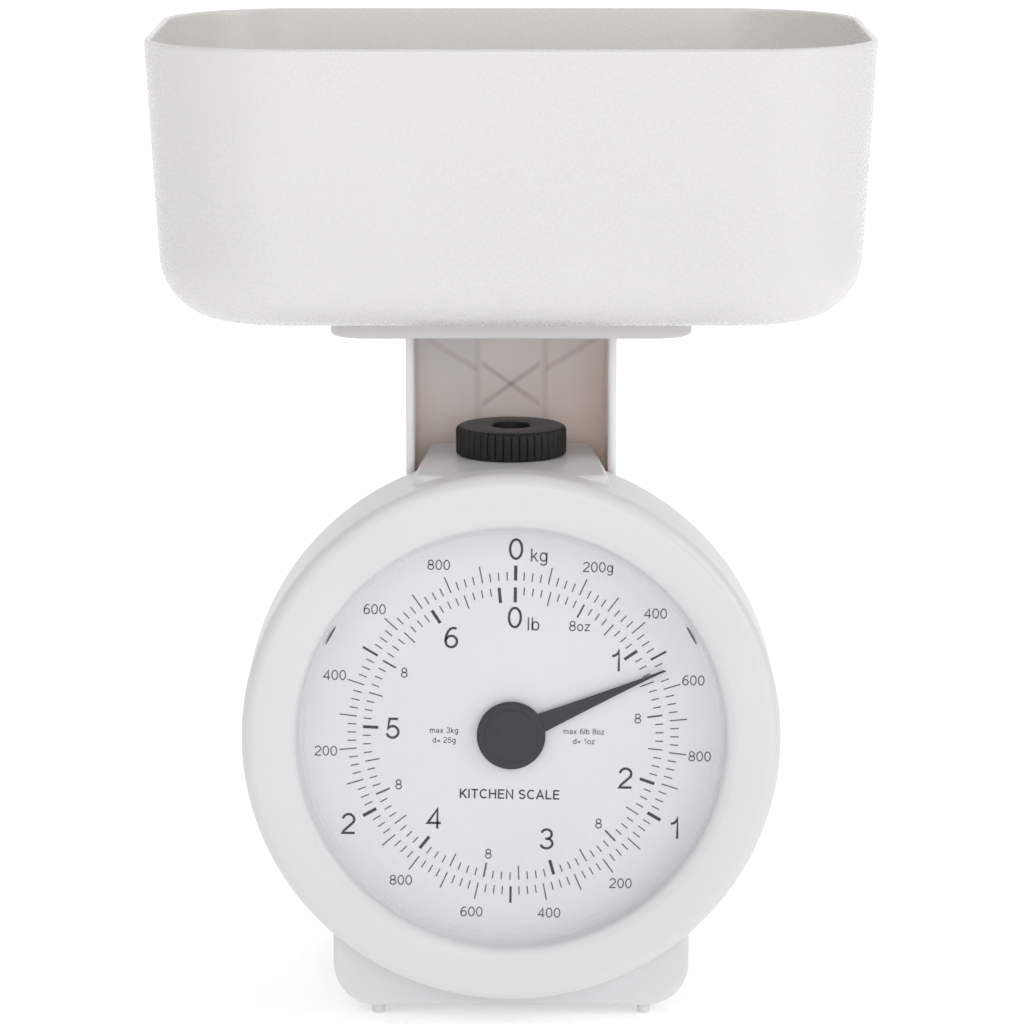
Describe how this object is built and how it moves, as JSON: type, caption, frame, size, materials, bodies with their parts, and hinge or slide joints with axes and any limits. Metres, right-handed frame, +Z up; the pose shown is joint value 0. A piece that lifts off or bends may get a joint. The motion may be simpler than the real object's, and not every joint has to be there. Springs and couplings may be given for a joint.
{
  "type": "mechanical kitchen scale",
  "caption": "Mechanical kitchen scale with a lift-off rounded square bowl on a pillar, a round dial with a pointer, and a knurled zero knob.",
  "frame": {"origin": "middle of the bowl seen from above, in the plane the feet stand on", "axes": "+X to the right seen from the front, +Y to the back, +Z up; the dial faces -Y"},
  "size_m": [0.165, 0.1152, 0.2249],
  "materials": {
    "housing_white": "white moulded plastic, soft gloss",
    "bowl_white": "white moulded plastic, soft gloss",
    "pillar_white": "thin slightly translucent white plastic",
    "feet_white": "matt white plastic",
    "clear_lens": "clear moulded plastic",
    "dial_white": "white printed plastic",
    "charcoal": "dark grey satin plastic",
    "knob_black": "black satin plastic",
    "zinc_steel": "zinc-plated sheet steel",
    "screw_steel": "plated steel",
    "spring_steel": "drawn spring wire",
    "brass": "turned or stamped brass"
  },
  "bodies": {
    "housing": {"front_housing": "housing_white", "rear_housing": "housing_white", "base_cover": "housing_white", "feet": "feet_white", "lens": "clear_lens", "dial_plate": "dial_white", "chassis_plate": "zinc_steel", "chassis_screws": "screw_steel", "bearing_bridge": "zinc_steel", "bridge_screws": "screw_steel", "front_bush": "brass", "rear_bush": "brass", "link_pivot_pins": "screw_steel", "housing_screws": "screw_steel"},
    "platform": {"platform": "housing_white", "pillar": "pillar_white", "platform_screws": "screw_steel", "carriage": "zinc_steel", "carriage_screws": "screw_steel", "carriage_pins": "screw_steel", "rack": "brass", "rack_bracket": "zinc_steel", "rack_rivets": "screw_steel", "spring_plug": "zinc_steel", "main_spring": "spring_steel"},
    "bowl": {"bowl": "bowl_white"},
    "pointer": {"pointer": "charcoal", "pinion_shaft": "screw_steel", "pinion": "brass"},
    "zero_knob": {"zero_knob": "knob_black", "zero_screw": "screw_steel", "retaining_clip": "spring_steel"},
    "spring_anchor": {"spring_anchor": "brass"},
    "upper_link": {"upper_link": "zinc_steel"},
    "lower_link": {"lower_link": "zinc_steel"}
  },
  "joints": [
    {"name": "platform_travel", "type": "slide", "parent": "housing", "child": "platform", "axis": [0, 0, 1], "range_m": [-0.01434, 0.00326], "stiffness_N_per_m": 1672.8, "deforming": ["main_spring"]},
    {"name": "bowl_lift", "type": "slide", "parent": "platform", "child": "bowl", "axis": [0, 0, 1], "range_m": [0, 0.08]},
    {"name": "pointer_turn", "type": "hinge", "parent": "housing", "child": "pointer", "pos_m": [0, -0.035, 0.068], "axis": [0, 1, 0], "range_deg": [-66.7, 293.6]},
    {"name": "zero_knob_turn", "type": "hinge", "parent": "housing", "child": "zero_knob", "pos_m": [0, -0.0125, 0.13], "axis": [0, 0, 1], "range_deg": [-720, 720]},
    {"name": "spring_anchor_travel", "type": "slide", "parent": "housing", "child": "spring_anchor", "axis": [0, 0, 1], "range_m": [-0.00141, 0.00141]},
    {"name": "upper_link_turn", "type": "hinge", "parent": "housing", "child": "upper_link", "pos_m": [0, -0.036, 0.09846], "axis": [1, 0, 0], "range_deg": [-21.8, 5.1]},
    {"name": "lower_link_turn", "type": "hinge", "parent": "housing", "child": "lower_link", "pos_m": [0, -0.036, 0.03646], "axis": [1, 0, 0], "range_deg": [-21.8, 5.1]}
  ],
  "couplings": [
    {"joint": "pointer_turn", "follows": "platform_travel", "rad_per_m": -357.14},
    {"joint": "upper_link_turn", "follows": "platform_travel", "rad_per_m": 26.316},
    {"joint": "lower_link_turn", "follows": "platform_travel", "rad_per_m": 26.316},
    {"joint": "spring_anchor_travel", "follows": "zero_knob_turn", "m_per_rad": 0.00011141}
  ]
}
